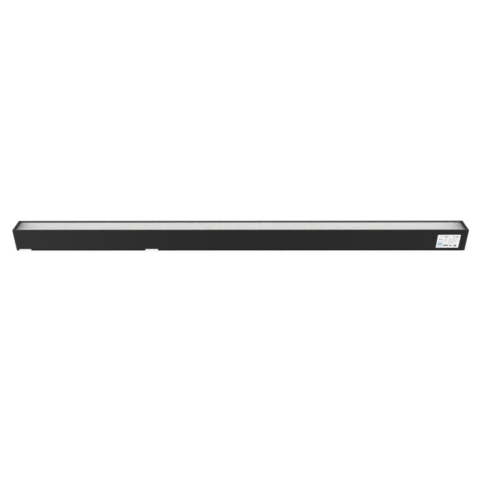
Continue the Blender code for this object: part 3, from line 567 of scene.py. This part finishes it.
def build_floor():
    """Pale floor that is seen only from above, and doesn't colour the part from below."""
    half = FLOOR_HALF
    mesh = bmesh.new()
    corners = [(-half, -half), (half, -half), (half, half), (-half, half)]
    mesh.faces.new([mesh.verts.new((x, y, FLOOR_Z)) for x, y in corners])
    data = bpy.data.meshes.new("floor")
    mesh.to_mesh(data)
    mesh.free()
    floor = bpy.data.objects.new("floor", data)
    bpy.context.scene.collection.objects.link(floor)
    surface = Surface("floor_white")
    surface.base(surface.between(surface.noise(0.8), (0.29, 0.29, 0.29), (0.31, 0.31, 0.31)))
    surface.fixed(Roughness=0.9, Emission_Color=(1, 1, 1, 1), Emission_Strength=FLOOR_GLOW)
    backface = surface.node("ShaderNodeNewGeometry").outputs["Backfacing"]
    clear = surface.node("ShaderNodeBsdfTransparent")
    mix = surface.node("ShaderNodeMixShader")
    surface.link(backface, mix.inputs["Fac"])
    surface.link(surface.shader.outputs["BSDF"], mix.inputs[1])
    surface.link(clear.outputs["BSDF"], mix.inputs[2])
    surface.link(mix.outputs["Shader"], surface.tree.nodes["Material Output"].inputs["Surface"])
    data.materials.append(surface.material)
    floor.visible_diffuse = False
    floor.visible_glossy = False


def build_world():
    """Soft studio: bright in front and above, dimmer behind, dark below; a plain white backdrop."""
    world = bpy.data.worlds.new("studio")
    bpy.context.scene.world = world
    world.use_nodes = True
    tree = world.node_tree
    split = tree.nodes.new("ShaderNodeSeparateXYZ")
    tree.links.new(tree.nodes.new("ShaderNodeTexCoord").outputs["Generated"], split.inputs["Vector"])

    def ramp(letter, start, end, low, high):
        made = tree.nodes.new("ShaderNodeMapRange")
        made.interpolation_type = "SMOOTHSTEP"
        tree.links.new(split.outputs[letter], made.inputs["Value"])
        for name, value in (("From Min", start), ("From Max", end), ("To Min", low), ("To Max", high)):
            made.inputs[name].default_value = value
        return made.outputs["Result"]

    def combine(operation, first, second):
        made = tree.nodes.new("ShaderNodeMath")
        made.operation = operation
        tree.links.new(first, made.inputs[0])
        tree.links.new(second, made.inputs[1])
        return made.outputs["Value"]

    sky = ramp("Y", -0.5, 0.5, 1.45, 0.55)
    sides = combine("ADD", ramp("X", -0.6, 0.0, 0.94, 0.03), ramp("X", 0.0, 0.6, 0.0, 0.48))
    ground = combine("ADD", sides, ramp("Z", -0.65, -0.4, 0.3, 0.0))
    mix = tree.nodes.new("ShaderNodeMix")
    tree.links.new(ramp("Z", -0.35, 0.2, 0.0, 1.0), mix.inputs["Factor"])
    tree.links.new(ground, mix.inputs["A"])
    tree.links.new(sky, mix.inputs["B"])
    backdrop = tree.nodes.new("ShaderNodeMix")
    tree.links.new(tree.nodes.new("ShaderNodeLightPath").outputs["Is Camera Ray"], backdrop.inputs["Factor"])
    tree.links.new(mix.outputs["Result"], backdrop.inputs["A"])
    backdrop.inputs["B"].default_value = 1.0
    tree.links.new(backdrop.outputs["Result"], tree.nodes["Background"].inputs["Color"])


def add_softbox(name, location, target, size, energy):
    data = bpy.data.lights.new(name, "AREA")
    data.shape = "RECTANGLE"
    data.size, data.size_y = size
    data.energy = energy
    light = bpy.data.objects.new(name, data)
    light.location = location
    aim = Vector(target) - Vector(location)
    light.rotation_mode = "QUATERNION"
    light.rotation_quaternion = aim.to_track_quat("-Z", "Y")
    bpy.context.scene.collection.objects.link(light)


def build_camera():
    data = bpy.data.cameras.new("camera")
    data.lens = LENS
    data.sensor_width = SENSOR_WIDTH
    camera = bpy.data.objects.new("camera", data)
    bpy.context.scene.collection.objects.link(camera)
    camera.location = CAMERA_PLACE
    turn = Matrix.Rotation(math.radians(CAMERA_TURN), 3, "Z")
    tilt = Matrix.Rotation(math.radians(90 - CAMERA_DIP), 3, "X")
    roll = Matrix.Rotation(math.radians(CAMERA_ROLL), 3, "Z")
    camera.rotation_euler = (turn @ tilt @ roll).to_euler()
    bpy.context.scene.camera = camera


def build_stage():
    build_floor()
    build_world()
    add_softbox("softbox_top", (0.15, 0.2, 1.3), (0.1, 0, 0), (0.8, 0.5), 1.7)
    bpy.context.scene.view_settings.view_transform = "Standard"
    build_camera()


# ---------------------------------------------------------------- build

MATERIALS = make_materials()
dress_nodes(MATERIALS)
build_label(MATERIALS)
build_end_screws(MATERIALS)
build_stage()
